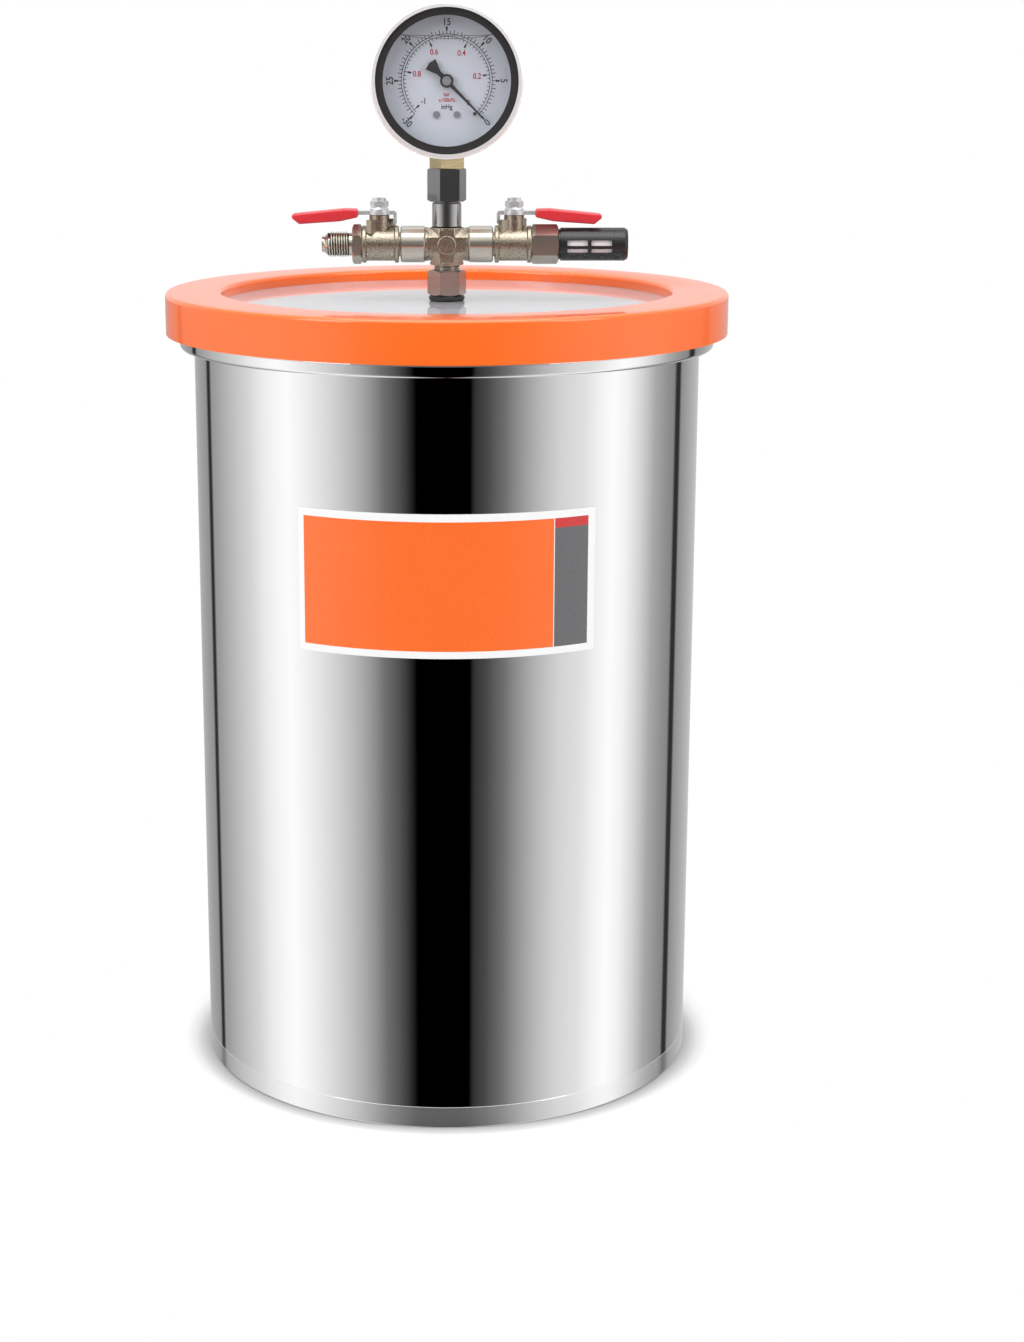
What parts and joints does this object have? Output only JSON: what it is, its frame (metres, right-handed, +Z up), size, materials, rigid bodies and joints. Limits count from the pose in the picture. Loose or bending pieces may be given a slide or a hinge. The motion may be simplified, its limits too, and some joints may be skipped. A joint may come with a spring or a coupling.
{
  "type": "vacuum chamber",
  "caption": "Tall stainless degassing pot with a clear lid in a silicone ring, a ball valve on each side of a pipe cross, a muffler and a dial gauge.",
  "frame": {"origin": "centre of the underside of the pot, where it stands", "axes": "+Z up the pot's axis towards the gauge; the dial and the label face -Y; the flare fitting points to -X and the muffler to +X"},
  "size_m": [0.2808, 0.2808, 0.5356],
  "materials": {
    "stainless": "mirror polished wall, satin base",
    "label": "printed gloss label with plain colour fields",
    "silicone": "orange silicone, satin",
    "acrylic": "clear cast acrylic",
    "rubber": "black rubber, matt",
    "nickel": "nickel plated brass, cast and turned",
    "dark_nickel": "dark nickel plated steel",
    "black_plastic": "black moulded plastic",
    "felt": "white pressed felt",
    "brass": "bare machined brass",
    "bronze": "phosphor bronze",
    "polished_steel": "polished stainless",
    "glass": "clear flat window",
    "dial": "white dial, printed scales",
    "plated_steel": "bright zinc plate",
    "black_paint": "matt black",
    "seat_plastic": "white low-friction plastic",
    "ball_chrome": "chromed ball",
    "vinyl": "dipped red vinyl"
  },
  "bodies": {
    "root": {"base_pan": "stainless", "pot_wall": "stainless", "label": "label", "lid_gasket": "silicone", "acrylic_lid": "acrylic", "upper_washer": "rubber", "lower_washer": "rubber", "lock_nut": "nickel", "lid_adapter": "nickel", "cross_fitting": "nickel", "left_coupling": "nickel", "right_coupling": "nickel", "upper_coupling": "nickel", "gauge_adapter": "dark_nickel", "flare_fitting": "nickel", "muffler_cage": "black_plastic", "muffler_filter": "felt", "muffler_cap": "black_plastic", "gauge_socket": "brass", "gauge_case": "polished_steel", "gauge_bezel": "polished_steel", "window_seal": "rubber", "gauge_window": "glass", "window_ring": "rubber", "gauge_dial": "dial", "dial_screws": "plated_steel", "stop_pin": "plated_steel", "filler_plug": "rubber", "bourdon_tube": "bronze", "movement_frame": "brass", "left_valve_body": "nickel", "left_end_insert": "nickel", "left_ball_seats": "seat_plastic", "left_stem_packing": "seat_plastic", "right_valve_body": "nickel", "right_end_insert": "nickel", "right_ball_seats": "seat_plastic", "right_stem_packing": "seat_plastic"},
    "left_lever": {"left_valve_stem": "brass", "left_valve_ball": "ball_chrome", "left_lever": "plated_steel", "left_lever_grip": "vinyl", "left_lever_nut": "plated_steel"},
    "right_lever": {"right_valve_stem": "brass", "right_valve_ball": "ball_chrome", "right_lever": "plated_steel", "right_lever_grip": "vinyl", "right_lever_nut": "plated_steel"},
    "pointer": {"pointer": "black_paint", "pointer_arbor": "plated_steel"},
    "sector": {"sector_gear": "brass"},
    "link": {"gauge_link": "brass"}
  },
  "joints": [
    {"name": "left_lever_turn", "type": "hinge", "parent": "root", "child": "left_lever", "pos_m": [-0.0335, 0, 0.419], "axis": [0, 0, 1], "range_deg": [-90, 0]},
    {"name": "right_lever_turn", "type": "hinge", "parent": "root", "child": "right_lever", "pos_m": [0.0335, 0, 0.419], "axis": [0, 0, 1], "range_deg": [-90, 0]},
    {"name": "pointer_turn", "type": "hinge", "parent": "root", "child": "pointer", "pos_m": [0, 0, 0.4984], "axis": [0, -1, 0], "range_deg": [0, 270]},
    {"name": "sector_turn", "type": "hinge", "parent": "root", "child": "sector", "pos_m": [0, 0, 0.484], "axis": [0, -1, 0], "range_deg": [-54, 0]},
    {"name": "link_turn", "type": "hinge", "parent": "sector", "child": "link", "pos_m": [0.00492, 0, 0.48313], "axis": [0, -1, 0], "range_deg": [0, 54]}
  ],
  "couplings": [
    {"joint": "sector_turn", "follows": "pointer_turn", "ratio": -0.2},
    {"joint": "link_turn", "follows": "pointer_turn", "ratio": 0.2}
  ]
}
